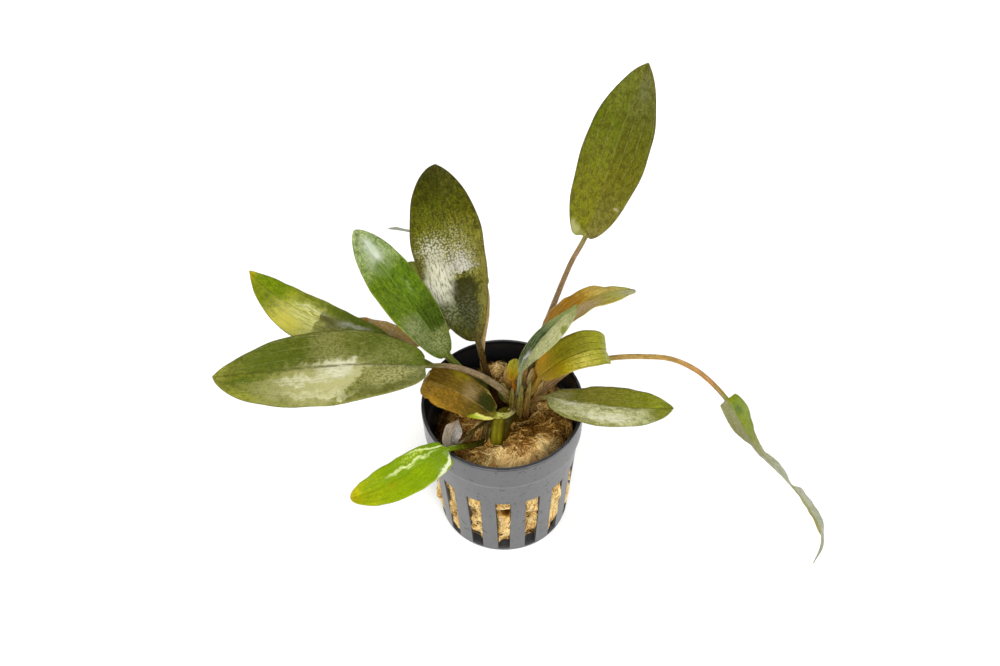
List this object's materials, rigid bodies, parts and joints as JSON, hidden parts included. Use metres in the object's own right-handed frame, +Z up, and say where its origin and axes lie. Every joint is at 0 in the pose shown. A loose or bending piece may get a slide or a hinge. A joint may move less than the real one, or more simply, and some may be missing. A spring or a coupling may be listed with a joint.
{
  "type": "potted cryptocoryne",
  "caption": "Small aquarium plant with long stalked oval leaves in a slotted net pot filled with rock wool.",
  "frame": {"origin": "centre of the pot's base, on the surface it stands on", "axes": "+X to the right in the front view, where the trailing leaf reaches, +Y to the back, +Z up"},
  "size_m": [0.1887, 0.105, 0.127],
  "materials": {
    "pot_plastic": "black moulded plastic with a satin surface and fine dust specks",
    "mineral_wool": "matted golden-brown mineral fibres",
    "crown_tissue": "brown, slightly translucent stem tissue, wet",
    "petiole_green": "wet green petiole, ribbed lengthwise",
    "leaf_olive": "wet gloss leaf tissue, fine parallel veins, olive green",
    "leaf_yellow_green": "wet gloss leaf tissue, fine parallel veins, yellow-green with an orange tip",
    "leaf_deep_green": "wet gloss leaf tissue, fine parallel veins, saturated green with pale ends",
    "leaf_bright_green": "wet gloss leaf tissue, fine parallel veins, bright green",
    "leaf_dark_olive": "wet gloss leaf tissue, fine parallel veins, dark olive, minutely pitted",
    "leaf_mottled": "wet gloss leaf tissue, fine parallel veins, olive with a net of brown mottling",
    "leaf_orange_brown": "wet gloss leaf tissue, fine parallel veins, orange-brown",
    "leaf_silver_green": "wet gloss leaf tissue, fine parallel veins, dark green and silver halves",
    "leaf_grey_green": "wet gloss leaf tissue, fine parallel veins, green at the base, grey-green below, tan petiole",
    "leaf_brown": "wet gloss leaf tissue, fine parallel veins, brown with an orange margin and wrinkles",
    "leaf_withered": "dull withered tissue, grey-lavender, ribbed",
    "leaf_grey_tan": "wet gloss leaf tissue, fine parallel veins, grey-green blade, tan petiole",
    "leaf_young_orange": "wet gloss leaf tissue, fine parallel veins, yellow-orange"
  },
  "bodies": {
    "root": {"net_pot": "pot_plastic", "rock_wool": "mineral_wool", "crown": "crown_tissue", "petiole_stub_left": "petiole_green", "petiole_stub_right": "petiole_green", "leaf_arched_right": "leaf_orange_brown", "leaf_back": "leaf_yellow_green", "leaf_behind_centre": "leaf_grey_tan", "leaf_centre": "leaf_dark_olive", "leaf_curled_brown": "leaf_brown", "leaf_drooping": "leaf_yellow_green", "leaf_folded": "leaf_silver_green", "leaf_front_left": "leaf_bright_green", "leaf_left_centre": "leaf_deep_green", "leaf_left_long": "leaf_olive", "leaf_right": "leaf_olive", "leaf_tall_right": "leaf_mottled", "leaf_tan": "leaf_orange_brown", "leaf_trailing": "leaf_grey_green", "leaf_upper_left": "leaf_yellow_green", "leaf_withered": "leaf_withered", "leaf_young": "leaf_young_orange"}
  },
  "joints": []
}
